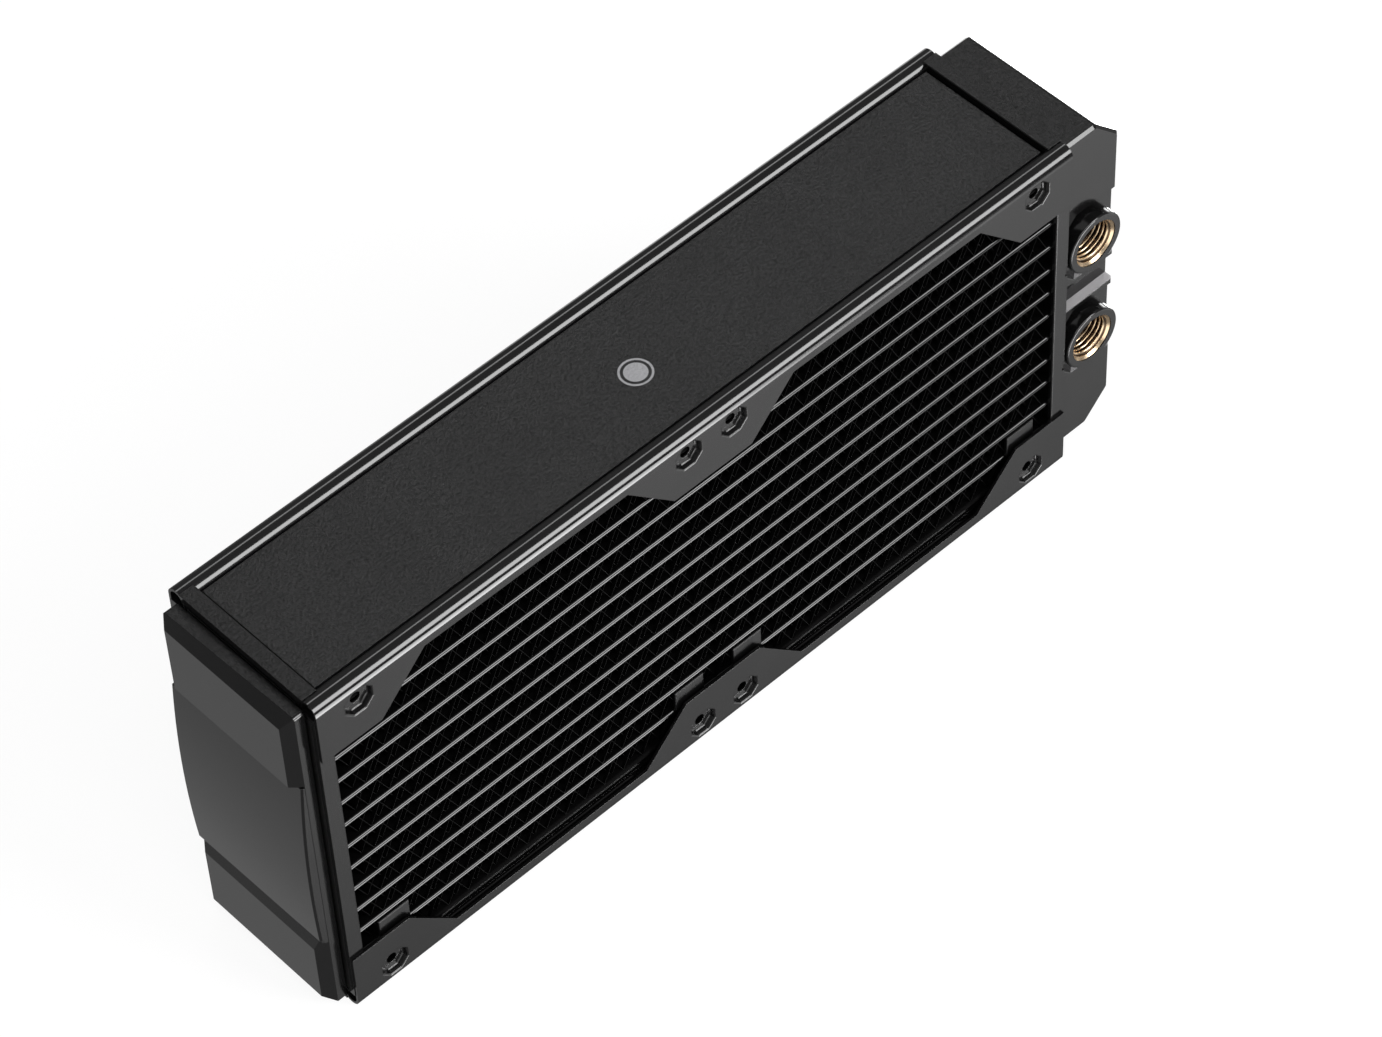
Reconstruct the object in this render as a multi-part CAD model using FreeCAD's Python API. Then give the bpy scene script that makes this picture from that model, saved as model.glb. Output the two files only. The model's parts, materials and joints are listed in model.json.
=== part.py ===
import FreeCAD, Part
import math
import os

# Liquid cooling radiator for two 120 mm fans, all dimensions in millimetres.
# Frame: X runs along the length with the port end at +X, the face that carries the
# ports looks towards -Y, +Z points up. The origin is the centre of the front screw
# pattern, on the plane of the screw seats.

V = FreeCAD.Vector

# ---- driving dimensions ------------------------------------------------------------
FAN_PITCH = 105.0            # screw pattern of one 120 mm fan
FAN_GAP = 15.0               # between the nearest screws of the two fans
HOLE_R = 1.55                # screw hole
SEAT_DEPTH = 1.5             # screw seats lie this far below the mounting face
SHEET = 0.8                  # flange sheet thickness
CUP_T = 0.5                  # drawn thickness under a screw seat
CUP_Y0 = -1.3                # the drawn cup starts inside the sheet
CUP_SIDE = 0.85              # wall beside a screw seat
PLAY = 0.05                  # clearance between fitted pieces
FRAME_HALF_X = 125.1         # flanges end here
FRAME_HALF_Z = 60.0          # over the rolled rails
THICKNESS = 53.1             # front mounting face to rear mounting face
RAIL_R = 3.0                 # outer radius of a rolled rail
BAND_Z = 54.6                # inner edge of the narrow flange band
TAB_Z = 40.0                 # inner edge of the screw tabs
MID_TAB_HALF = 12.9          # half width of the middle tab at its inner edge
END_TAB_X = 106.7            # where the end tabs start
SEAT_MOUTH = 4.08            # octagonal seat, across-flats half width at the mouth
SEAT_FLOOR = 3.6             # the same at its floor
SEAT_RIM_R = 0.45            # rounding of the mouth and of the floor corner

TUBE_COUNT = 13
TUBE_PITCH = 8.66
TUBE_T = 1.7                 # tube height
TUBE_WALL = 0.3
TUBE_NOSE_Y = 0.6            # front of the front tube row
TUBE_ROW_DEPTH = 23.7
TUBE_HALF_X = 122.6          # tubes end flush with the header plates
FIN_PITCH = 6.6              # one full wave
FIN_T = 0.15
FIN_FRONT_Y = 1.0
FIN_LEAD = 0.9               # leading slice, offset by half a wave
FIN_HALF_X = 119.9
GUARD_HALF_X = 5.0           # guard plates over the tubes behind the screws
GUARD_SHIFT_X = 2.65         # they sit this far inside the outer screws
GUARD_T = 0.9
GUARD_EDGE_R = 0.35
GUARD_SHORT = 5.6            # the upper guards are this much shorter, hidden by the tabs

PANEL_Z = 58.4               # outer surface of the side panels
PANEL_T = 0.6
PANEL_HALF_X = 120.0
PANEL_EDGE_R = 0.25
CORE_PLATE_Z = 57.0
CORE_PLATE_Y0 = 1.0
SKIRT_T = 0.8                # folded edge of a core plate, with a rolled bead
SKIRT_DROP = 2.2
BEAD_R = 0.55
BEAD_Y = 2.4
COLLAR_X0 = 120.7            # the end collars run from here
COLLAR_X1 = 125.3            # to here
COLLAR_MOUTH_R = 0.45        # rounding of the edge that frames the fins
COLLAR_TOP_R = 0.3
NOTCH_DEPTH = 0.4            # small notch beside each port
NOTCH_Z0 = -5.3              # its span below the port centre
NOTCH_Z1 = -1.8
HEADER_X0 = 121.4
HEADER_T = 1.2
HEADER_X1 = HEADER_X0 + HEADER_T
HEADER_STEP_Y = 5.6          # the header is full height only behind this line
HEADER_STEP_Z = 54.2
HEADER_Y0 = 0.5              # front edge of the opening in an end collar
TANK_WALL = 1.2

COVER_Y0 = 2.1               # front of both end covers
COVER_HALF_Z = 57.0
COVER_GAP_X = 125.7          # end covers start here
COVER_T = 1.1                # wall of both end covers
RETURN_END_X = -131.4
RETURN_STEP_X = -128.7       # seat of the curved insert
RETURN_FRONT = 2.8           # chamfers along the front and rear end edges
RETURN_REAR = 1.7
RETURN_RIM_R = 0.9
RETURN_TOP_DROP = 4.0        # height of the long chamfers
RETURN_LOW_DROP = 2.1
RETURN_LEDGE = 3.6           # slope below the insert
INSERT_SEAT_TOP = 30.8
INSERT_SEAT_LOW = -31.4
INSERT_PLAY = 0.2
INSERT_LIP = 0.5
PORT_END_X = 146.0
PORT_CHAMFER = 8.5
PORT_RIM = 0.8               # chamfer round the front and rear of the port cover
PORT_TOP_R = 2.0             # rounding between the top and the end chamfer
PORT_END_R = 2.0             # rounding between the end chamfer and the end face
PORT_X = 134.9
PORT_Z = 18.2
PORT_RING_R = 9.3
PORT_MOUTH_R = 7.15          # opening in the painted ring
PORT_LIP = 0.4               # thickness of the ring in front of the insert
PORT_BORE_R = 6.58           # G1/4 thread, major radius
PORT_INSERT_R = 7.9
PORT_RING_EDGE_R = 0.5
PORT_NECK_R = 8.6
PORT_NECK_Y1 = 7.8
INSERT_Y1 = 10.5
INSERT_FLOOR = 1.1
INSERT_OUTLET_R = 4.5
POCKET_LEFT_X = 127.2        # port pockets, open at the end face
POCKET_ABOVE = 10.6          # from the port centre to the top of its pocket
POCKET_BELOW = 13.4
POCKET_TOP_CUT = 3.9         # chamfered corners at the left
POCKET_LOW_CUT = 3.65
POCKET_RAMP = 2.2            # the lower corner slopes in by this much at the floor
POCKET_DEPTH = 1.8
POCKET_EDGE_R = 0.3
RECESS_Z0 = -5.9             # deeper recess between the two ports
RECESS_Z1 = 3.66
RECESS_DEPTH = 2.8
TANK_GAP = 0.2               # cover to tank
TANK_HALF_Z = 54.0
TANK_EDGE_R = 1.5

FRONT_Y = -SEAT_DEPTH
REAR_Y = FRONT_Y + THICKNESS
MID_Y = (FRONT_Y + REAR_Y) / 2.0
COVER_Y1 = 2.0 * MID_Y - COVER_Y0
INNER_HOLE_X = FAN_GAP / 2.0
OUTER_HOLE_X = INNER_HOLE_X + FAN_PITCH
HOLE_Z = FAN_PITCH / 2.0
RAIL_Z = FRAME_HALF_Z - RAIL_R
RAIL_Y = FRONT_Y + RAIL_R
RAIL_LEG = 1.4               # return leg below the roll
POCKET_Y = COVER_Y0 + POCKET_DEPTH
RECESS_Y = COVER_Y0 + RECESS_DEPTH
TANK_Y0 = RECESS_Y + COVER_T + TANK_GAP
TANK_Y1 = COVER_Y1 - COVER_T - TANK_GAP
TANK_END_X = PORT_END_X - COVER_T - TANK_GAP
DIVIDER_Z = TUBE_PITCH / 2.0
HOLE_XS = (-OUTER_HOLE_X, -INNER_HOLE_X, INNER_HOLE_X, OUTER_HOLE_X)


# ---- helpers -----------------------------------------------------------------------
def box(x0, x1, y0, y1, z0, z1):
    return Part.makeBox(x1 - x0, y1 - y0, z1 - z0, V(x0, y0, z0))


def prism(corners, direction):
    """Closed outline of vectors, extruded along a vector."""
    return Part.Face(Part.makePolygon(corners + corners[:1])).extrude(direction)


def prism_x(points, x0, x1):
    """Extrude a Y-Z outline from x0 to x1."""
    return prism([V(x0, y, z) for y, z in points], V(x1 - x0, 0, 0))


def prism_y(points, y0, y1):
    """Extrude an X-Z outline from y0 to y1."""
    return prism([V(x, y0, z) for x, z in points], V(0, y1 - y0, 0))


def prism_z(points, z0, z1):
    """Extrude an X-Y outline from z0 to z1."""
    return prism([V(x, y, z0) for x, y in points], V(0, 0, z1 - z0))


def cylinder_y(x, z, r, y0, y1):
    return Part.makeCylinder(r, y1 - y0, V(x, y0, z), V(0, 1, 0))


def line(a, b):
    return Part.LineSegment(a, b).toShape()


def arc(a, b, c):
    return Part.Arc(a, b, c).toShape()


def flip_x(shape):
    return shape.mirror(V(0, 0, 0), V(1, 0, 0))


def flip_y(shape):
    return shape.mirror(V(0, MID_Y, 0), V(0, 1, 0))


def flip_z(shape):
    return shape.mirror(V(0, 0, 0), V(0, 0, 1))


def behind(y):
    """The same distance in from the rear face."""
    return 2.0 * MID_Y - y


def near(a, b, tol=0.02):
    return abs(a - b) < tol


def edges_where(shape, test):
    return [e for e in shape.Edges if all(test(v.Point) for v in e.Vertexes) and test(e.CenterOfMass)]


def round_edges(shape, radius, test):
    """Fillet the edges that lie wholly where test is true."""
    return shape.makeFillet(radius, edges_where(shape, test))


def one_solid(shape):
    """Merge coplanar faces and return the single solid."""
    clean = shape.removeSplitter()
    return clean.Solids[0] if len(clean.Solids) == 1 else clean


# ---- flanges -----------------------------------------------------------------------
def flange_outline():
    slant = BAND_Z - TAB_Z
    right = [
        (FRAME_HALF_X, RAIL_Z),
        (FRAME_HALF_X, TAB_Z),
        (END_TAB_X, TAB_Z),
        (END_TAB_X - slant, BAND_Z),
        (MID_TAB_HALF + slant, BAND_Z),
        (MID_TAB_HALF, TAB_Z),
    ]
    return right + [(-x, z) for x, z in reversed(right)]


def rail():
    """Sheet edge rolled over into a half round with a short return leg."""
    r_in = RAIL_R - SHEET
    out_a = V(0, RAIL_Y - RAIL_R, RAIL_Z)
    out_b = V(0, RAIL_Y + RAIL_R, RAIL_Z)
    in_a = V(0, RAIL_Y - r_in, RAIL_Z)
    in_b = V(0, RAIL_Y + r_in, RAIL_Z)
    leg_out = V(0, RAIL_Y + RAIL_R, RAIL_Z - RAIL_LEG)
    leg_in = V(0, RAIL_Y + r_in, RAIL_Z - RAIL_LEG)
    edges = [
        arc(out_a, V(0, RAIL_Y, RAIL_Z + RAIL_R), out_b),
        line(out_b, leg_out),
        line(leg_out, leg_in),
        line(leg_in, in_b),
        arc(in_b, V(0, RAIL_Y, RAIL_Z + r_in), in_a),
        line(in_a, out_a),
    ]
    profile = Part.Face(Part.Wire(edges))
    profile.translate(V(-FRAME_HALF_X, 0, 0))
    return profile.extrude(V(2.0 * FRAME_HALF_X, 0, 0))


def octagon(x, y, z, apothem):
    r = apothem / math.cos(math.pi / 8.0)
    angles = [math.pi / 8.0 + k * math.pi / 4.0 for k in range(9)]
    return Part.makePolygon([V(x + r * math.cos(a), y, z + r * math.sin(a)) for a in angles])


def frustum(x, z, y0, apothem0, y1, apothem1):
    return Part.makeLoft([octagon(x, y0, z, apothem0), octagon(x, y1, z, apothem1)], True, True)


def seat_distance(p):
    return min(max(abs(p.x - x), abs(p.z - HOLE_Z)) for x in HOLE_XS)


def flange():
    """Front upper flange: plate, rolled rail and four octagonal screw seats."""
    body = prism_y(flange_outline(), FRONT_Y, FRONT_Y + SHEET).fuse(rail())
    for x in HOLE_XS:
        body = body.fuse(frustum(x, HOLE_Z, CUP_Y0, SEAT_MOUTH + CUP_SIDE, CUP_T, SEAT_FLOOR + CUP_T))
    body = body.removeSplitter()
    for x in HOLE_XS:
        body = body.cut(frustum(x, HOLE_Z, FRONT_Y, SEAT_MOUTH, 0.0, SEAT_FLOOR))
    for y, reach in ((0.0, SEAT_FLOOR), (FRONT_Y, SEAT_MOUTH)):
        body = round_edges(body, SEAT_RIM_R, lambda p: near(p.y, y) and seat_distance(p) < reach + 0.1)
    for x in HOLE_XS:
        body = body.cut(cylinder_y(x, HOLE_Z, HOLE_R, FRONT_Y, CUP_T + 1.0))
    return one_solid(body)


# ---- end collars and header plates ---------------------------------------------------
def header_outline(inset):
    """Y-Z outline of the opening in an end collar, with notched corners for the rails."""
    y0 = HEADER_Y0 + inset
    y1 = HEADER_STEP_Y + inset
    z0 = HEADER_STEP_Z - inset
    z1 = CORE_PLATE_Z - inset
    quarter = [(y0, z0), (y1, z0), (y1, z1)]
    upper = quarter + [(behind(y), z) for y, z in quarter[::-1]]
    return upper + [(y, -z) for y, z in upper[::-1]]


def rail_clearance():
    """Space that the front upper rail takes out of a collar corner."""
    x0 = COLLAR_X0 - 1.0
    length = COLLAR_X1 - COLLAR_X0 + 2.0
    roll_r = RAIL_R + PLAY
    y1 = RAIL_Y + roll_r
    above = FRAME_HALF_Z + 1.0
    roll = Part.makeCylinder(roll_r, length, V(x0, RAIL_Y, RAIL_Z), V(1, 0, 0))
    roll = roll.common(box(x0, x0 + length, FRONT_Y - 1.0, y1 + 1.0, RAIL_Z, above))
    slot = box(x0, x0 + length, FRONT_Y, y1, RAIL_Z - RAIL_LEG - 4.0 * PLAY, RAIL_Z)
    shoulder = box(x0, x0 + length, FRONT_Y, 2.0 * RAIL_Y, RAIL_Z - 0.5, above)
    return roll.fuse(slot).fuse(shoulder)


def end_collar(notches):
    """Rectangular band around the core end, cut away where it passes the rails."""
    y0 = FRONT_Y + SHEET
    body = box(COLLAR_X0, COLLAR_X1, y0, behind(y0), -FRAME_HALF_Z, FRAME_HALF_Z)
    corner = rail_clearance()
    for cutter in (corner, flip_y(corner), flip_z(corner), flip_y(flip_z(corner))):
        body = body.cut(cutter)
    body = body.cut(prism_x(header_outline(0.0), COLLAR_X0 - 1, COLLAR_X1 + 1))
    x0 = COLLAR_X1 - SHEET
    for z in notches:
        body = body.cut(box(x0, x0 + 2.0, y0 - 1.0, y0 + NOTCH_DEPTH, z + NOTCH_Z0, z + NOTCH_Z1))
    body = round_edges(body, COLLAR_TOP_R, on_collar_top)
    body = round_edges(body, COLLAR_MOUTH_R, on_collar_mouth)
    return one_solid(body)


def on_collar_top(p):
    return near(abs(p.z), FRAME_HALF_Z) and near(p.x, COLLAR_X0)


def on_collar_mouth(p):
    y0 = FRONT_Y + SHEET
    return near(p.x, COLLAR_X0) and (near(p.y, y0) or near(p.y, behind(y0)))


def tube_rows():
    front = (TUBE_NOSE_Y, TUBE_NOSE_Y + TUBE_ROW_DEPTH)
    return front, (behind(front[1]), behind(front[0]))


def tube_levels():
    middle = (TUBE_COUNT - 1) / 2.0
    return [(k - middle) * TUBE_PITCH for k in range(TUBE_COUNT)]


def header_plate():
    body = prism_x(header_outline(PLAY), HEADER_X0, HEADER_X1)
    for y0, y1 in tube_rows():
        for z in tube_levels():
            body = body.cut(flat_oval(HEADER_X0 - 1, HEADER_X1 + 1, y0, y1, z, TUBE_T))
    return one_solid(body)


# ---- tubes and fins ------------------------------------------------------------------
def flat_oval(x0, x1, y0, y1, z, height):
    """Flat tube outline with round noses, extruded along X."""
    r = height / 2.0
    a = V(x0, y0 + r, z + r)
    b = V(x0, y1 - r, z + r)
    c = V(x0, y1 - r, z - r)
    d = V(x0, y0 + r, z - r)
    edges = [line(a, b), arc(b, V(x0, y1, z), c), line(c, d), arc(d, V(x0, y0, z), a)]
    return Part.Face(Part.Wire(edges)).extrude(V(x1 - x0, 0, 0))


def flat_tubes(y0, y1):
    tubes = []
    w = TUBE_WALL
    for z in tube_levels():
        outer = flat_oval(-TUBE_HALF_X, TUBE_HALF_X, y0, y1, z, TUBE_T)
        inner = flat_oval(-TUBE_HALF_X - 1, TUBE_HALF_X + 1, y0 + w, y1 - w, z, TUBE_T - 2 * w)
        tubes.append(outer.cut(inner))
    return Part.makeCompound(tubes)


def wave_outline(z0, z1, phase):
    """Closed X-Z outline of a thin zigzag ribbon between two tubes."""
    half = FIN_PITCH / 2.0
    steps = int(2.0 * FIN_HALF_X / half) - 1
    slope = (z1 - z0) / half
    rise = FIN_T * math.sqrt(1.0 + slope * slope)
    x_start = -half * steps / 2.0 + phase * half / 2.0
    lower = []
    upper = []
    for k in range(steps + 1):
        x = x_start + k * half
        low = z0 if k % 2 else z1 - rise
        lower.append((x, low))
        upper.append((x, low + rise))
    return lower + upper[::-1]


def fin_channels():
    levels = tube_levels()
    return [(a + TUBE_T / 2.0, b - TUBE_T / 2.0) for a, b in zip(levels, levels[1:])]


def fin_row():
    """Front fin row: a short leading slice, then the main strip half a wave over."""
    strips = []
    row_end = TUBE_NOSE_Y + TUBE_ROW_DEPTH
    for z0, z1 in fin_channels():
        strips.append(prism_y(wave_outline(z0, z1, 1), FIN_FRONT_Y, FIN_FRONT_Y + FIN_LEAD))
        strips.append(prism_y(wave_outline(z0, z1, -1), FIN_FRONT_Y + FIN_LEAD, row_end))
    return Part.makeCompound(strips)


# ---- core plates, side panels and small parts ------------------------------------------
def core_plate():
    """Upper core plate, stepped past the rails and folded to a beaded skirt at each long edge."""
    x = PANEL_HALF_X
    low = CORE_PLATE_Z - SKIRT_DROP
    step_y1 = RAIL_Y + RAIL_R + SHEET + 0.7
    body = box(-x, x, CORE_PLATE_Y0, behind(CORE_PLATE_Y0), CORE_PLATE_Z, PANEL_Z - PANEL_T)
    corner = box(-x, x, 0.0, RAIL_Y + RAIL_R + 2.0 * PLAY, CORE_PLATE_Z, PANEL_Z)
    skirt = box(-x, x, CORE_PLATE_Y0, step_y1, low, low + SKIRT_T)
    step = box(-x, x, step_y1 - 1.0, step_y1, low, CORE_PLATE_Z + 0.4)
    bead = Part.makeCylinder(BEAD_R, 2.0 * x, V(-x, BEAD_Y, low + 0.1), V(1, 0, 0))
    body = body.cut(corner).cut(flip_y(corner))
    for extra in (skirt, step, bead):
        body = body.fuse(extra).fuse(flip_y(extra))
    return one_solid(body)


def side_panel():
    """Upper side panel, lying between the two rails."""
    y0 = RAIL_Y + RAIL_R + 6.0 * PLAY
    body = box(-PANEL_HALF_X, PANEL_HALF_X, y0, behind(y0), PANEL_Z - PANEL_T, PANEL_Z)
    return one_solid(round_edges(body, PANEL_EDGE_R, lambda p: near(p.z, PANEL_Z)))


def screw_guards():
    """Guard plates between the last two tubes, one beside each screw."""
    front = FIN_FRONT_Y - GUARD_T
    z0, z1 = fin_channels()[1]
    blocks = []
    for side in (-1.0, 1.0):
        for x in (side * (INNER_HOLE_X + GUARD_SHIFT_X), side * (OUTER_HOLE_X - GUARD_SHIFT_X)):
            for low, high in ((z0, z1), (GUARD_SHORT - z1, -z0)):
                block = box(x - GUARD_HALF_X, x + GUARD_HALF_X, front, FIN_FRONT_Y, low, high)
                blocks.append(round_edges(block, GUARD_EDGE_R, lambda p: near(p.y, front)))
    return Part.makeCompound(blocks + [flip_y(b) for b in blocks])


# ---- return end ------------------------------------------------------------------------
def return_cover():
    """End cover opposite the ports, with a stepped seat for the curved insert."""
    z1 = COVER_HALF_Z
    x0 = RETURN_END_X
    x1 = -COVER_GAP_X
    seat_x = RETURN_STEP_X - 1.6
    body = box(x0, x1, COVER_Y0, COVER_Y1, -z1, z1)
    front = [(x0, COVER_Y0), (x0 + RETURN_FRONT, COVER_Y0), (x0, COVER_Y0 + RETURN_FRONT)]
    rear = [(x0, COVER_Y1), (x0 + RETURN_REAR, COVER_Y1), (x0, COVER_Y1 - RETURN_REAR)]
    body = body.cut(prism_z(front, -z1 - 1, z1 + 1)).cut(prism_z(rear, -z1 - 1, z1 + 1))
    body = body.cut(end_chamfer(z1, RETURN_TOP_DROP, RETURN_FRONT, RETURN_REAR))
    body = body.cut(end_chamfer(-z1, -RETURN_LOW_DROP, RETURN_FRONT, RETURN_FRONT))
    body = body.cut(box(x0 - 1, RETURN_STEP_X, COVER_Y0 - 1, COVER_Y1 + 1, INSERT_SEAT_LOW, INSERT_SEAT_TOP))
    ledge_z = INSERT_SEAT_LOW - RETURN_LEDGE
    ledge = [(x0 - 1, INSERT_SEAT_LOW), (seat_x, INSERT_SEAT_LOW), (x0, ledge_z), (x0 - 1, ledge_z)]
    body = one_solid(body.cut(prism_y(ledge, COVER_Y0 - 1, COVER_Y1 + 1)))
    body = round_edges(body, RETURN_RIM_R, lambda p: near(p.z, z1) and near(p.y, COVER_Y0))
    body = round_edges(body, RETURN_RIM_R, lambda p: near(p.z, z1) and near(p.y, COVER_Y1))
    cavity_x = RETURN_STEP_X + COVER_T
    cavity_y = COVER_Y0 + 0.9
    cavity = box(cavity_x, x1 + 1, cavity_y, behind(cavity_y), -z1 + 1.6, z1 - 1.6)
    return one_solid(body.cut(cavity))


def end_chamfer(z_edge, drop, width_front, width_rear):
    """Wedge that removes the long end edge; it may taper from front to rear."""
    profiles = []
    x0 = RETURN_END_X
    grow = 1.0 if z_edge > 0 else -1.0
    for y, width in ((COVER_Y0 - 1.0, width_front), (COVER_Y1 + 1.0, width_rear)):
        ratio = drop / width
        a = V(x0 - 1.0, y, z_edge - drop - ratio)
        b = V(x0 + width + 1.0, y, z_edge + ratio)
        c = V(x0 - 1.0, y, z_edge + ratio + grow * 0.001)
        profiles.append(Part.makePolygon([a, b, c, a]))
    return Part.makeLoft(profiles, True, True)


def insert_profile(y, x_top, x_mid, x_low):
    """Side outline of the curved insert at one depth."""
    z_top = INSERT_SEAT_TOP - INSERT_PLAY
    z_low = INSERT_SEAT_LOW + 0.1
    z_bend = z_low + 1.7
    seat = RETURN_STEP_X - 0.02
    top = V(x_top, y, z_top)
    bend = V(x_low, y, z_bend)
    corners = [bend, V(x_low + 0.9, y, z_low), V(seat, y, z_low), V(seat, y, z_top), top]
    edges = [arc(top, V(x_mid, y, -3.5), bend)]
    edges += [line(a, b) for a, b in zip(corners, corners[1:])]
    return Part.Wire(edges)


def return_insert():
    """Curved panel that fills the middle of the return cover, proud by a small lip."""
    profiles = [
        insert_profile(COVER_Y0, -129.1, -130.9, -130.4),
        insert_profile(COVER_Y0 + INSERT_LIP, -129.6, -131.45, -130.95),
        insert_profile(COVER_Y1 - INSERT_PLAY, -131.0, -132.35, -131.25),
        insert_profile(COVER_Y1, -130.8, -132.15, -131.05),
    ]
    return Part.makeLoft(profiles, True, True)


def tank_rim():
    """Wide mouth of a tank: it sits inside the end collar, on the header plate."""
    outer = prism_x(header_outline(2.0 * PLAY), HEADER_X1, COLLAR_X1)
    inner = prism_x(header_outline(TANK_WALL), HEADER_X1 - 1.0, COLLAR_X1 - TANK_WALL)
    return outer.cut(inner)


def return_tank():
    """Shallow tank that turns the flow back along the core, drawn at the +X side."""
    x1 = -RETURN_STEP_X - COVER_T - 2.0 * TANK_GAP
    w = TANK_WALL
    z1 = TANK_HALF_Z
    outer = box(COLLAR_X1 - w, x1, TANK_Y0, behind(TANK_Y0), -z1, z1)
    outer = round_edges(outer, TANK_EDGE_R, lambda p: near(p.x, x1))
    inner = box(COLLAR_X1 - 2.0 * w, x1 - w, TANK_Y0 + w, behind(TANK_Y0 + w), -z1 + w, z1 - w)
    return flip_x(one_solid(tank_rim().fuse(outer).cut(inner)))


# ---- port end ----------------------------------------------------------------------------
def end_outline(x0, x1, z1, cut):
    """X-Z outline with both outer corners chamfered."""
    return [(x0, z1), (x1 - cut, z1), (x1, z1 - cut), (x1, -z1 + cut), (x1 - cut, -z1), (x0, -z1)]


def port_pocket(z):
    """Cut for one port: chamfered corners at the left, open at the end face."""
    x0 = POCKET_LEFT_X
    x1 = PORT_END_X + 1.0
    top = z + POCKET_ABOVE
    low = z - POCKET_BELOW
    outline = [
        (x0 + POCKET_TOP_CUT, top),
        (x1, top),
        (x1, low),
        (x0 + POCKET_LOW_CUT, low),
        (x0, low + POCKET_LOW_CUT),
        (x0, top - POCKET_TOP_CUT),
    ]
    corners = [pocket_corner(low, COVER_Y0, 0.0), pocket_corner(low, POCKET_Y, POCKET_RAMP)]
    return prism_y(outline, COVER_Y0 - 1.0, POCKET_Y).cut(Part.makeLoft(corners, True, True))


def pocket_corner(low, y, grow):
    """Triangle left standing in a pocket's lower corner, larger towards the floor."""
    x0 = POCKET_LEFT_X - 1.0
    z0 = low - 1.0
    reach = POCKET_LOW_CUT + 2.0 + grow
    return Part.makePolygon([V(x0, y, z0), V(x0 + reach, y, z0), V(x0, y, z0 + reach), V(x0, y, z0)])


def port_cover():
    """Cover over the port tank with a pocket around each port and a recess between them."""
    outline = end_outline(COVER_GAP_X, PORT_END_X, COVER_HALF_Z, PORT_CHAMFER)
    body = prism_y(outline, COVER_Y0, COVER_Y1)
    inner_x = PORT_END_X - PORT_CHAMFER
    inner_z = COVER_HALF_Z - PORT_CHAMFER
    body = round_edges(body, PORT_TOP_R, lambda p: near(p.x, inner_x) and near(abs(p.z), COVER_HALF_Z))
    body = round_edges(body, PORT_END_R, lambda p: near(p.x, PORT_END_X) and near(abs(p.z), inner_z))
    rim = edges_where(body, on_port_rim)
    body = body.makeChamfer(PORT_RIM, rim)
    pockets = port_pocket(PORT_Z).fuse(port_pocket(-PORT_Z))
    recess = box(POCKET_LEFT_X, PORT_END_X + 1.0, COVER_Y0 - 1.0, RECESS_Y, RECESS_Z0, RECESS_Z1)
    body = body.cut(pockets).cut(recess)
    body = round_edges(body, POCKET_EDGE_R, in_pocket_rim)
    t = COVER_T
    inside = end_outline(COVER_GAP_X - 1.0, PORT_END_X - t, COVER_HALF_Z - t, PORT_CHAMFER - 0.6 * t)
    body = body.cut(prism_y(inside, RECESS_Y + t, COVER_Y1 - t))
    for z in (PORT_Z, -PORT_Z):
        body = body.cut(cylinder_y(PORT_X, z, PORT_NECK_R + PLAY, 0.0, TANK_Y0))
        body = body.cut(cylinder_y(PORT_X, z, PORT_RING_R + 2.0 * PLAY, 0.0, POCKET_Y))
    return one_solid(body)


def on_port_rim(p):
    """Top, bottom and chamfer edges of the front and rear faces."""
    on_face = near(p.y, COVER_Y0) or near(p.y, COVER_Y1)
    return on_face and abs(p.z) > COVER_HALF_Z - PORT_CHAMFER - 2.0 and p.x > COVER_GAP_X + 0.1


def in_pocket_rim(p):
    """Front edges of the pockets and of the recess, clear of the end face."""
    return near(p.y, COVER_Y0) and p.x < PORT_END_X + 0.1 and abs(p.z) < PORT_Z + POCKET_BELOW + 0.1


def port_tank():
    """Tank behind the port cover; both ports open into it."""
    w = TANK_WALL
    x0 = COLLAR_X1 - w
    cut = PORT_CHAMFER - COVER_T
    outer = prism_y(end_outline(x0, TANK_END_X, TANK_HALF_Z, cut), TANK_Y0, TANK_Y1)
    inside = end_outline(x0 - w, TANK_END_X - w, TANK_HALF_Z - w, cut - 0.6 * w)
    body = tank_rim().fuse(outer).cut(prism_y(inside, TANK_Y0 + w, TANK_Y1 - w))
    for z in (PORT_Z, -PORT_Z):
        body = body.cut(cylinder_y(PORT_X, z, PORT_NECK_R + PLAY, 0.0, INSERT_Y1))
    return one_solid(body)


def tank_divider():
    """Wall between the inlet half and the outlet half, level with a fin channel."""
    z0 = DIVIDER_Z - TANK_WALL / 2.0
    z1 = DIVIDER_Z + TANK_WALL / 2.0
    mouth_y0 = HEADER_Y0 + TANK_WALL
    mouth = box(HEADER_X1, COLLAR_X1 - TANK_WALL, mouth_y0, behind(mouth_y0), z0, z1)
    body = box(HEADER_X1, TANK_END_X - TANK_WALL, TANK_Y0 + TANK_WALL, TANK_Y1 - TANK_WALL, z0, z1)
    return one_solid(mouth.fuse(body))


def port_collar(z):
    """Round collar standing out of the cover, with a neck into the tank."""
    seat_y = FRONT_Y + PORT_LIP
    ring = cylinder_y(PORT_X, z, PORT_RING_R, FRONT_Y, POCKET_Y)
    ring = round_edges(ring, PORT_RING_EDGE_R, lambda p: near(p.y, FRONT_Y))
    body = ring.fuse(cylinder_y(PORT_X, z, PORT_NECK_R, POCKET_Y, PORT_NECK_Y1))
    body = body.cut(cylinder_y(PORT_X, z, PORT_INSERT_R, seat_y, PORT_NECK_Y1 + 1.0))
    body = body.cut(cylinder_y(PORT_X, z, PORT_MOUTH_R, FRONT_Y - 1.0, seat_y))
    return one_solid(body)


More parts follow.
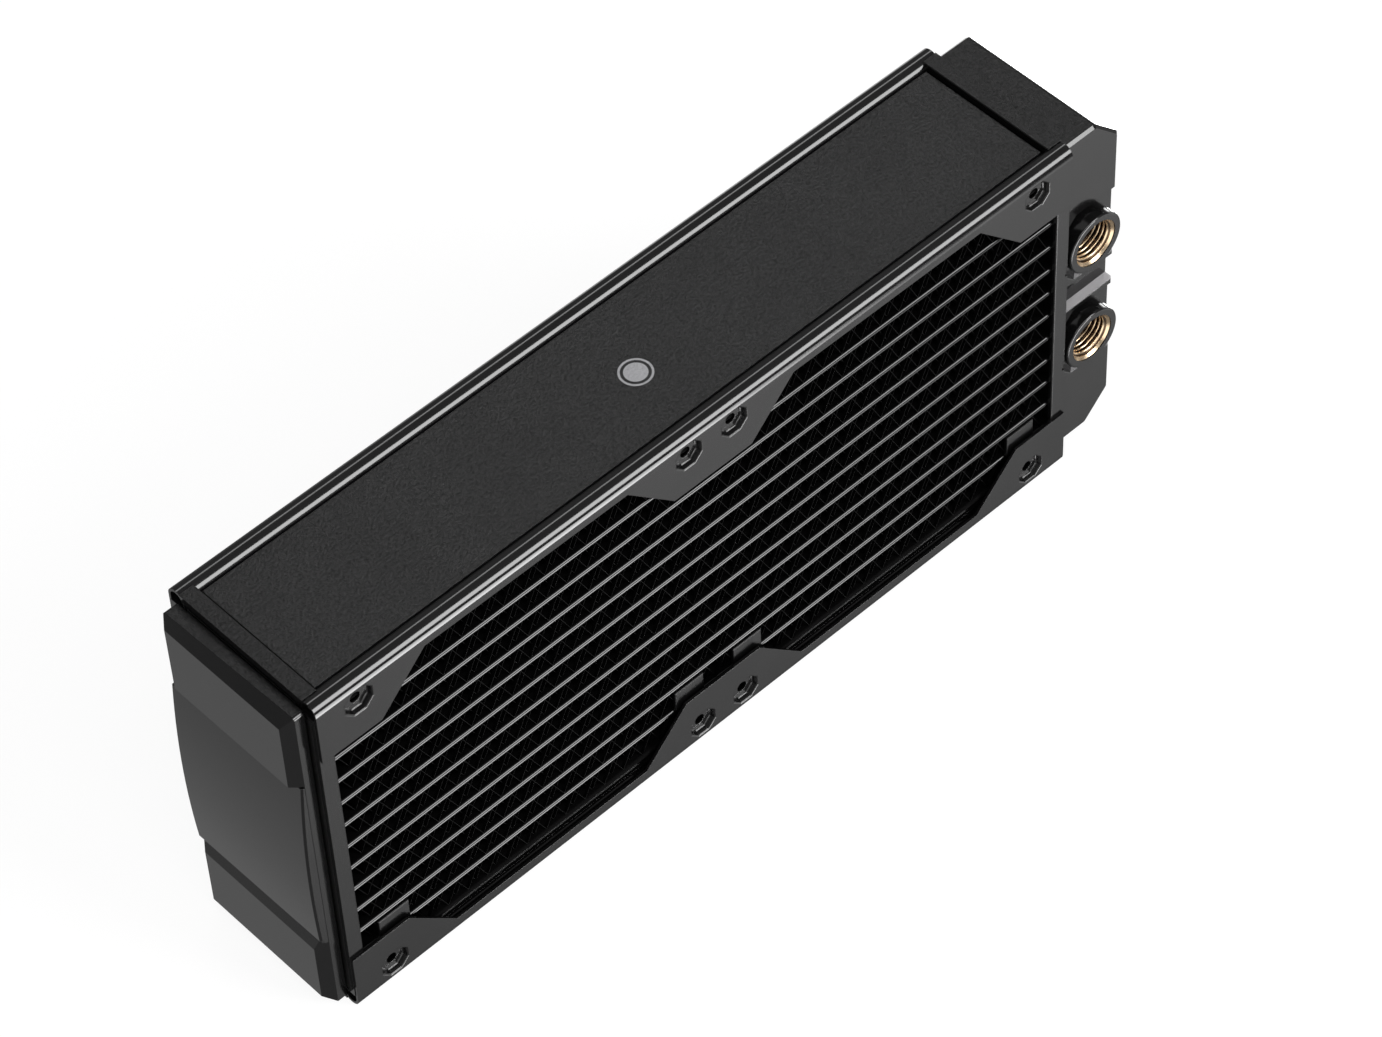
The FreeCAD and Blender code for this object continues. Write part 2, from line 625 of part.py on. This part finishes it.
def port_insert(z):
    """Threaded brass insert; the bore is a plain wall at the thread's major radius."""
    y0 = FRONT_Y + PORT_LIP
    lead = PORT_MOUTH_R - PORT_BORE_R
    body = cylinder_y(PORT_X, z, PORT_INSERT_R, y0, INSERT_Y1)
    body = body.cut(cylinder_y(PORT_X, z, PORT_BORE_R, y0 - 1.0, INSERT_Y1 - INSERT_FLOOR))
    body = body.cut(cylinder_y(PORT_X, z, INSERT_OUTLET_R, 0.0, INSERT_Y1 + 1.0))
    cone = Part.makeCone(PORT_MOUTH_R, PORT_BORE_R, lead, V(PORT_X, y0, z), V(0, 1, 0))
    return one_solid(body.cut(cone))


# ---- export --------------------------------------------------------------------------
def build():
    front_tubes, rear_tubes = tube_rows()
    upper = flange()
    header = header_plate()
    fins = fin_row()
    plate = core_plate()
    panel = side_panel()
    return {
        "front_upper_flange": upper,
        "front_lower_flange": flip_z(upper),
        "rear_upper_flange": flip_y(upper),
        "rear_lower_flange": flip_y(flip_z(upper)),
        "port_end_collar": end_collar([PORT_Z, -PORT_Z]),
        "return_end_collar": flip_x(end_collar([])),
        "port_header_plate": header,
        "return_header_plate": flip_x(header),
        "front_flat_tubes": flat_tubes(*front_tubes),
        "rear_flat_tubes": flat_tubes(*rear_tubes),
        "front_fin_strips": fins,
        "rear_fin_strips": flip_y(fins),
        "upper_core_plate": plate,
        "lower_core_plate": flip_z(plate),
        "upper_side_panel": panel,
        "lower_side_panel": flip_z(panel),
        "screw_guards": screw_guards(),
        "return_cover": return_cover(),
        "return_cover_insert": return_insert(),
        "return_tank": return_tank(),
        "port_cover": port_cover(),
        "port_tank": port_tank(),
        "tank_divider": tank_divider(),
        "upper_port_collar": port_collar(PORT_Z),
        "lower_port_collar": port_collar(-PORT_Z),
        "upper_port_insert": port_insert(PORT_Z),
        "lower_port_insert": port_insert(-PORT_Z),
    }


os.makedirs("parts", exist_ok=True)
for node, shape in build().items():
    for solid in shape.Solids:
        if not solid.isValid() or solid.Volume <= 0:
            print("check solid in", node, solid.isValid(), solid.Volume)
    print(node, len(shape.Solids), "solids", len(shape.Faces), "faces", round(shape.Volume, 1), "mm3")
    shape.exportStep("parts/" + node + ".step")
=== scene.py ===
import json
import math

import bpy
import bmesh
from mathutils import Matrix, Vector


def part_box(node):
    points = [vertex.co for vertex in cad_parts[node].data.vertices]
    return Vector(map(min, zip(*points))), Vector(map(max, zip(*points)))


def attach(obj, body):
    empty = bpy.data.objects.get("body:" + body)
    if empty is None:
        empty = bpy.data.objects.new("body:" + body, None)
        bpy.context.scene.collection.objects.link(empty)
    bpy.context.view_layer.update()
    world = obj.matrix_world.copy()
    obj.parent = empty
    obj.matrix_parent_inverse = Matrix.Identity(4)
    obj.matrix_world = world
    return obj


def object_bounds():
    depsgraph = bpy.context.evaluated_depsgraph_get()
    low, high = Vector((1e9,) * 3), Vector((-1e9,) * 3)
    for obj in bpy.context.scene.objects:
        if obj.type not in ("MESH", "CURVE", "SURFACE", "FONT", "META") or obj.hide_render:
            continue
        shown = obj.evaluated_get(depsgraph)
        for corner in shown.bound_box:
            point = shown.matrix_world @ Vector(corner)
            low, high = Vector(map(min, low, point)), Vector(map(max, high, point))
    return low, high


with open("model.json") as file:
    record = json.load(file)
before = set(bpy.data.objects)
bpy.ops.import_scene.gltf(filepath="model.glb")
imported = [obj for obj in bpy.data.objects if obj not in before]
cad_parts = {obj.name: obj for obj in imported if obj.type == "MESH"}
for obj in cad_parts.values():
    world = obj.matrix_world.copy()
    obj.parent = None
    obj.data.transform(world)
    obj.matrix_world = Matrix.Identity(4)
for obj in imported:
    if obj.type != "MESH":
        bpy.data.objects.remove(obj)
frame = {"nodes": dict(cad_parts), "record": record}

MM = 0.001
NODES = frame["nodes"]
CAD_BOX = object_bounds()
LOW, HIGH = CAD_BOX
CENTRE = (LOW + HIGH) / 2

# ---- camera: where the viewer stands, from the centre of the object -----------------
LENS = 130.3                 # long lens on a 36 mm sensor
AIM = Vector((2.67, -6.48, -2.51)) * MM
AZIMUTH = -41.1
ELEVATION = 50.1
ROLL = -3.09
DISTANCE = 1257.6 * MM

# ---- threads -------------------------------------------------------------------------
PITCH = 1.337 * MM           # G1/4, 19 threads per inch
MAJOR_R = 6.56 * MM
MINOR_R = 5.75 * MM
THREAD_SEGMENTS = 128
THREAD_STEPS = 12            # samples along one pitch

# ---- printed disc on the upper panel ----------------------------------------------------
MARK_X = -1.7 * MM
MARK_Y = 23.1 * MM
MARK_R = 3.1 * MM
MARK_RING = (3.9 * MM, 4.5 * MM)


# ---- node helpers --------------------------------------------------------------------
class Tree:
    """Small wrapper that makes shader nodes and links them."""

    def __init__(self, tree):
        self.tree = tree
        tree.nodes.clear()

    def add(self, kind, **values):
        node = self.tree.nodes.new(kind)
        for key, value in values.items():
            if hasattr(node, key):
                setattr(node, key, value)
            else:
                self.put(value, node.inputs[key.replace("_", " ")])
        return node

    def put(self, value, socket):
        if isinstance(value, bpy.types.NodeSocket):
            self.tree.links.new(value, socket)
        else:
            socket.default_value = value

    def math(self, operation, a, b=0.0, c=0.0):
        node = self.tree.nodes.new("ShaderNodeMath")
        node.operation = operation
        for socket, value in zip(node.inputs, (a, b, c)):
            self.put(value, socket)
        return node.outputs[0]

    def product(self, *values):
        result = values[0]
        for value in values[1:]:
            result = self.math("MULTIPLY", result, value)
        return result

    def ramp(self, value, a, b, low=0.0, high=1.0):
        """Smooth step of value from a to b, giving low to high."""
        node = self.tree.nodes.new("ShaderNodeMapRange")
        node.interpolation_type = "SMOOTHSTEP"
        for name, v in (("Value", value), ("From Min", a), ("From Max", b), ("To Min", low), ("To Max", high)):
            self.put(v, node.inputs[name])
        return node.outputs["Result"]

    def window(self, value, span, soft):
        """One inside the span and zero outside, with soft edges."""
        low, high = span
        rise = self.ramp(value, low - soft, low + soft)
        fall = self.ramp(value, high - soft, high + soft, 1.0, 0.0)
        return self.product(rise, fall)

    def axes(self, vector):
        split = self.add("ShaderNodeSeparateXYZ", Vector=vector)
        return [split.outputs[k] for k in "XYZ"]

    def noise(self, coords, scale, detail=2.0, roughness=0.5):
        node = self.tree.nodes.new("ShaderNodeTexNoise")
        self.put(coords, node.inputs["Vector"])
        self.put(scale, node.inputs["Scale"])
        self.put(detail, node.inputs["Detail"])
        self.put(roughness, node.inputs["Roughness"])
        return node.outputs["Fac"]

    def bump(self, height, strength, distance, normal=None):
        node = self.tree.nodes.new("ShaderNodeBump")
        self.put(height, node.inputs["Height"])
        self.put(strength, node.inputs["Strength"])
        self.put(distance, node.inputs["Distance"])
        if normal is not None:
            self.put(normal, node.inputs["Normal"])
        return node.outputs["Normal"]

    def colour(self, fac, low, high):
        node = self.tree.nodes.new("ShaderNodeMix")
        node.data_type = "RGBA"
        self.put(fac, node.inputs[0])
        for value, socket in ((low, node.inputs[6]), (high, node.inputs[7])):
            self.put(value if isinstance(value, bpy.types.NodeSocket) else (*value, 1.0), socket)
        return node.outputs[2]


def new_material(name):
    mat = bpy.data.materials.new(name)
    mat.use_nodes = True
    t = Tree(mat.node_tree)
    out = t.add("ShaderNodeOutputMaterial")
    shader = t.add("ShaderNodeBsdfPrincipled")
    t.put(shader.outputs[0], out.inputs["Surface"])
    coords = t.add("ShaderNodeTexCoord").outputs["Object"]
    return mat, t, shader, coords


def set_inputs(t, shader, **values):
    for name, value in values.items():
        t.put(value, shader.inputs[name.replace("_", " ")])


# ---- materials -----------------------------------------------------------------------
def black_paint(name, roughness, base=0.004, specular=0.5, edge=0.15, peel=0.004, grain_on=None,
                grain=0.16, grain_shine=0.28, extra=None):
    """Black powder coat: edge rounding, faint orange peel, and coarse grain where grain_on says."""
    mat, t, shader, coords = new_material(name)
    cloud = t.noise(coords, 60.0, 3.0)
    dust = t.noise(coords, 900.0, 2.0)
    tone = t.math("MULTIPLY_ADD", dust, 0.4, t.math("MULTIPLY", cloud, 0.6))
    colour = t.colour(tone, (0.6 * base, 0.6 * base, 0.62 * base), (1.4 * base, 1.35 * base, 1.38 * base))
    rough = t.ramp(cloud, 0.3, 0.7, roughness * 0.92, roughness * 1.08)
    normal = t.add("ShaderNodeBevel", samples=4, Radius=edge * MM).outputs[0]
    normal = t.bump(t.noise(coords, 1400.0, 2.0), 1.0, peel * MM, normal)
    shine = t.math("ADD", specular, 0.0)
    if grain_on:
        mask = grain_on(t)
        pebbles = t.noise(coords, GRAIN_SCALE, 2.0, 0.55)
        creases = t.noise(coords, GRAIN_SCALE * 3.1, 2.0, 0.6)
        leather = t.math("MULTIPLY_ADD", creases, 0.35, pebbles)
        normal = t.bump(leather, mask, grain * MM, normal)
        glint = t.math("MULTIPLY_ADD", t.math("SUBTRACT", leather, 0.67), GRAIN_CONTRAST, 1.0)
        glint = t.product(t.math("MAXIMUM", glint, 0.2), grain_shine)
        shine = t.math("MULTIPLY_ADD", mask, t.math("SUBTRACT", glint, specular), specular)
        rough = t.math("ADD", t.product(mask, GRAIN_ROUGHNESS - roughness), rough)
    set_inputs(t, shader, Base_Color=colour, Roughness=rough, Normal=normal, IOR=1.5)
    t.put(shine, shader.inputs["Specular IOR Level"])
    if extra:
        extra(t, shader, coords, colour)
    return mat


GRAIN_SCALE = 1150.0
GRAIN_ROUGHNESS = 0.33
GRAIN_CONTRAST = 1.3


def everywhere(t):
    return t.math("ADD", 1.0, 0.0)


def flat_tops(t):
    """Where the surface faces straight up or down."""
    z = t.axes(t.add("ShaderNodeNewGeometry").outputs["Normal"])[2]
    return t.ramp(t.math("ABSOLUTE", z), 0.97, 0.995)


def printed_mark(t, shader, coords, colour):
    """Pale disc and ring printed on the upper panel."""
    x, y, z = t.axes(coords)
    dx = t.math("SUBTRACT", x, MARK_X)
    dy = t.math("SUBTRACT", y, MARK_Y)
    r = t.math("SQRT", t.math("ADD", t.product(dx, dx), t.product(dy, dy)))
    soft = 0.06 * MM
    disc = t.ramp(r, MARK_R - soft, MARK_R + soft, 1.0, 0.0)
    ring = t.window(r, MARK_RING, soft)
    ink = t.product(t.math("ADD", disc, ring), t.ramp(z, HIGH.z - 4 * MM, HIGH.z - 2 * MM))
    wear = t.ramp(t.noise(coords, 700.0, 3.0), 0.2, 0.5, 0.9, 1.0)
    t.put(t.colour(t.product(ink, wear), colour, (0.30, 0.30, 0.31)), shader.inputs["Base Color"])


def painted_ledge_highlight(t, shader, coords, colour):
    """The upward ledges inside the port pockets get a lighter base colour: a painted highlight standing in for
    the light they reflect.
    """
    x, y, z = t.axes(coords)
    up = t.axes(t.add("ShaderNodeNewGeometry").outputs["Normal"])[2]
    cover_low, cover_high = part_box("port_cover")
    # painted highlight: mask of the upward faces inside the port pockets, lightened below
    lit_ledges = t.product(
        t.ramp(up, 0.9, 0.97),
        t.ramp(x, cover_low.x, cover_low.x + 0.5 * MM),
        t.ramp(y, cover_low.y + 3.2 * MM, cover_low.y + 3.3 * MM, 1.0, 0.0),
        t.ramp(z, cover_high.z - 4 * MM, cover_high.z - 2 * MM, 1.0, 0.0),
    )
    t.put(t.colour(lit_ledges, colour, (0.38, 0.37, 0.38)), shader.inputs["Base Color"])


def shaded_outer_tubes(t, shader, coords, colour):
    """The outermost tubes sit in the shade of the frame, behind the screw seats."""
    z = t.math("ABSOLUTE", t.axes(coords)[2])
    shade = t.window(z, (HIGH.z - CENTRE.z - 10 * MM, HIGH.z - CENTRE.z - 6.5 * MM), 0.2 * MM)
    t.put(t.math("MULTIPLY_ADD", shade, -0.33, 0.35), shader.inputs["Specular IOR Level"])
    t.put(t.ramp(shade, 0.0, 1.0, 0.1, 0.6), shader.inputs["Roughness"])


def brass(name):
    """Turned brass: pale gold crests, with painted shade darkening the thread roots and the bottom of the
    bore.
    """
    mat, t, shader, coords = new_material(name)
    x, y, z = t.axes(coords)
    low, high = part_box("upper_port_insert")
    dx = t.math("SUBTRACT", x, (low.x + high.x) / 2)
    dz = t.math("SUBTRACT", t.math("ABSOLUTE", z), (low.z + high.z) / 2)
    r = t.math("SQRT", t.math("ADD", t.product(dx, dx), t.product(dz, dz)))
    cloud = t.noise(coords, 200.0, 3.0)
    colour = t.colour(cloud, (0.80, 0.58, 0.36), (0.92, 0.74, 0.52))
    # painted shade: thread roots and the far end of the bore are darkened in the colour
    root = t.product(
        t.ramp(r, MINOR_R + 0.15 * MM, MINOR_R + 0.5 * MM),
        t.ramp(y, low.y + 0.5 * MM, low.y + 0.9 * MM),
    )
    bore_shade = t.ramp(y, low.y + 2.5 * MM, low.y + 8.0 * MM, 0.0, 0.9)
    colour = t.colour(t.math("MAXIMUM", t.product(root, 0.96), bore_shade), colour, (0.05, 0.025, 0.012))
    rough = t.ramp(cloud, 0.3, 0.7, 0.2, 0.3)
    normal = t.bump(cloud, 0.3, 0.02 * MM)
    set_inputs(t, shader, Base_Color=colour, Roughness=rough, Normal=normal, Metallic=1.0)
    return mat


def dress():
    """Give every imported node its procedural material."""
    cover = black_paint("cover_paint", 0.13, grain_on=flat_tops, extra=painted_ledge_highlight)
    looks = {
        "frame_paint": black_paint("frame_paint", 0.12),
        "panel_paint": black_paint("panel_paint", 0.33, base=0.005, grain_on=everywhere, grain=0.2,
                                   grain_shine=0.36, extra=printed_mark),
        "cover_paint": cover,
        "core_paint": black_paint("core_paint", 0.1, base=0.002, specular=0.35, edge=0.05,
                                  extra=shaded_outer_tubes),
        "fin_paint": black_paint("fin_paint", 0.5, base=0.0012, specular=0.03, edge=0.03),
        "tank_paint": black_paint("tank_paint", 0.3),
        "port_paint": black_paint("port_paint", 0.13),
        "brass": brass("brass"),
    }
    special = {
        "port_end_collar": cover,
        "return_end_collar": cover,
        "screw_guards": black_paint("guard_paint", 0.3, base=0.002, specular=0.2),
    }
    slots = {s["node"]: s["material_slot"] for s in frame["record"]["subparts"]}
    for name, obj in NODES.items():
        for slot in obj.material_slots:
            slot.link = "OBJECT"
            slot.material = special.get(name) or looks[slots[name]]
    return looks


# ---- threads inside the ports -----------------------------------------------------------
def thread_radius(phase):
    """Ridge profile over one pitch: straight flanks with a rounded crest and root."""
    wave = 0.5 - 0.5 * math.cos(2.0 * math.pi * phase)
    flank = min(1.0, max(0.0, 1.35 * wave - 0.15))
    return MAJOR_R - (MAJOR_R - MINOR_R) * flank


def thread(name, insert, material):
    """Helical ridges that line a port's plain bore, cut back by the lead-in chamfer."""
    low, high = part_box(insert)
    cx = (low.x + high.x) / 2
    cz = (low.z + high.z) / 2
    mouth_r = MAJOR_R + 0.59 * MM
    y_start = low.y + (mouth_r - MAJOR_R)
    y_end = high.y - 1.6 * MM
    rows = int((y_end - y_start) / PITCH * THREAD_STEPS)
    bm = bmesh.new()

    def circle(y, radius_at):
        ring = []
        for k in range(THREAD_SEGMENTS):
            turn = k / THREAD_SEGMENTS
            r = radius_at(turn)
            a = 2.0 * math.pi * turn
            ring.append(bm.verts.new((cx + r * math.cos(a), y, cz + r * math.sin(a))))
        return ring

    def helix(y):
        lead_in = mouth_r - (y - low.y)
        return lambda turn: min(MAJOR_R, max(lead_in, thread_radius(((y - y_start) / PITCH + turn) % 1.0)))

    rings = [circle(y_start + (y_end - y_start) * k / rows, helix(y_start + (y_end - y_start) * k / rows))
             for k in range(rows + 1)]
    shell = MAJOR_R + 0.01 * MM
    rings.append(circle(y_end, lambda turn: shell))
    rings.append(circle(y_start, lambda turn: shell))
    for a, b in zip(rings, rings[1:] + rings[:1]):
        for k in range(THREAD_SEGMENTS):
            n = (k + 1) % THREAD_SEGMENTS
            bm.faces.new((a[k], b[k], b[n], a[n]))
    bmesh.ops.recalc_face_normals(bm, faces=bm.faces)
    for face in bm.faces:
        face.smooth = True
    mesh = bpy.data.meshes.new(name)
    bm.to_mesh(mesh)
    bm.free()
    mesh.materials.append(material)
    obj = bpy.data.objects.new(name, mesh)
    bpy.context.scene.collection.objects.link(obj)
    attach(obj, "root")


# ---- studio --------------------------------------------------------------------------
# The sky is described by x, the sine of the angle off the object's middle plane, and by
# a, the angle round the X axis in degrees from straight up (0) through the front (90).
# Each light is (x span, a span, softness in x, softness in a, strength).
SKY = 0.22
LIGHTS = [
    ((0.18, 0.56), (43.0, 75.0), 0.03, 2.0, 12.0),       # long strip above the front
    ((0.10, 0.45), (102.0, 139.0), 0.03, 2.0, 10.5),     # long strip below the front
    ((0.15, 0.62), (-33.0, -22.0), 0.03, 2.0, 4.5),      # narrow strip overhead
    ((0.05, 0.70), (-60.0, 40.0), 0.10, 8.0, 0.08),      # overhead card
    ((0.65, 0.76), (-150.0, -126.0), 0.03, 3.0, 13.0),   # rim light behind the port end
    ((0.84, 0.92), (-118.0, -98.0), 0.03, 3.0, 6.0),     # small spark beside it
    ((0.40, 0.80), (-128.0, -92.0), 0.06, 5.0, 1.1),     # card behind the port end
    ((0.975, 1.2), (-180.0, 180.0), 0.01, 1.0, 2.2),     # card beyond the port end
    ((-0.75, -0.15), (-178.0, -115.0), 0.08, 8.0, 0.2),  # card beyond the return end
    ((-0.85, 0.06), (80.0, 136.0), 0.05, 6.0, 1.5),      # front card
    ((-0.75, 0.05), (22.0, 42.0), 0.05, 3.0, 5.0),       # side strip
    ((-0.72, -0.45), (-85.0, -54.0), 0.05, 5.0, 1.3),    # rear card
]


def studio_sky():
    world = bpy.data.worlds.new("studio")
    bpy.context.scene.world = world
    world.use_nodes = True
    t = Tree(world.node_tree)
    x, y, z = t.axes(t.add("ShaderNodeTexCoord").outputs["Generated"])
    degrees = 180.0 / math.pi
    a = t.math("MULTIPLY", t.math("ARCTAN2", t.math("MULTIPLY", y, -1.0), z), degrees)
    glow = t.product(t.window(x, (0.25, 0.9), 0.2), t.window(a, (120.0, 200.0), 5.0))
    glow = t.math("MULTIPLY_ADD", glow, t.ramp(a, 140.0, 154.0, 1.2, 0.05), SKY)
    for x_span, a_span, x_soft, a_soft, strength in LIGHTS:
        lamp = t.product(t.window(x, x_span, x_soft), t.window(a, a_span, a_soft), strength)
        glow = t.math("ADD", glow, lamp)
    lit = t.add("ShaderNodeBackground", Color=(1.0, 1.0, 1.0, 1.0), Strength=glow)
    seen = t.add("ShaderNodeBackground", Color=(1.0, 1.0, 1.0, 1.0), Strength=1.0)
    path = t.add("ShaderNodeLightPath")
    mix = t.add("ShaderNodeMixShader", Fac=path.outputs["Is Camera Ray"])
    t.put(lit.outputs[0], mix.inputs[1])
    t.put(seen.outputs[0], mix.inputs[2])
    out = t.add("ShaderNodeOutputWorld")
    t.put(mix.outputs[0], out.inputs["Surface"])


def floor():
    size = 4.0
    bm = bmesh.new()
    corners = [bm.verts.new((CENTRE.x + a * size, CENTRE.y + b * size, LOW.z))
               for a, b in ((-1, -1), (1, -1), (1, 1), (-1, 1))]
    bm.faces.new(corners)
    mesh = bpy.data.meshes.new("floor")
    bm.to_mesh(mesh)
    bm.free()
    obj = bpy.data.objects.new("floor", mesh)
    bpy.context.scene.collection.objects.link(obj)
    mat = bpy.data.materials.new("floor")
    mat.use_nodes = True
    t = Tree(mat.node_tree)
    coords = t.add("ShaderNodeTexCoord").outputs["Object"]
    tone = t.ramp(t.noise(coords, 3.0), 0.3, 0.7, 0.29, 0.31)
    diffuse = t.add("ShaderNodeBsdfDiffuse", Color=(0.12, 0.12, 0.12, 1.0))
    t.put(tone, diffuse.inputs["Roughness"])
    glow = t.add("ShaderNodeEmission", Strength=0.9)
    both = t.add("ShaderNodeAddShader")
    t.put(diffuse.outputs[0], both.inputs[0])
    t.put(glow.outputs[0], both.inputs[1])
    clear = t.add("ShaderNodeBsdfTransparent")
    path = t.add("ShaderNodeLightPath")
    mix = t.add("ShaderNodeMixShader", Fac=path.outputs["Is Glossy Ray"])
    t.put(both.outputs[0], mix.inputs[1])
    t.put(clear.outputs[0], mix.inputs[2])
    out = t.add("ShaderNodeOutputMaterial")
    t.put(mix.outputs[0], out.inputs["Surface"])
    obj.data.materials.append(mat)


def camera():
    data = bpy.data.cameras.new("camera")
    data.lens = LENS
    data.sensor_width = 36.0
    data.clip_start = 0.05
    data.clip_end = 50.0
    obj = bpy.data.objects.new("camera", data)
    bpy.context.scene.collection.objects.link(obj)
    a, e = math.radians(AZIMUTH), math.radians(ELEVATION)
    back = Vector((math.sin(a) * math.cos(e), -math.cos(a) * math.cos(e), math.sin(e)))
    turn = back.to_track_quat("Z", "Y").to_matrix().to_4x4() @ Matrix.Rotation(math.radians(ROLL), 4, "Z")
    obj.matrix_world = Matrix.Translation(CENTRE + AIM + back * DISTANCE) @ turn
    bpy.context.scene.camera = obj


looks = dress()
thread("upper_port_thread", "upper_port_insert", looks["brass"])
thread("lower_port_thread", "lower_port_insert", looks["brass"])
studio_sky()
floor()
camera()
bpy.context.scene.view_settings.view_transform = "Standard"
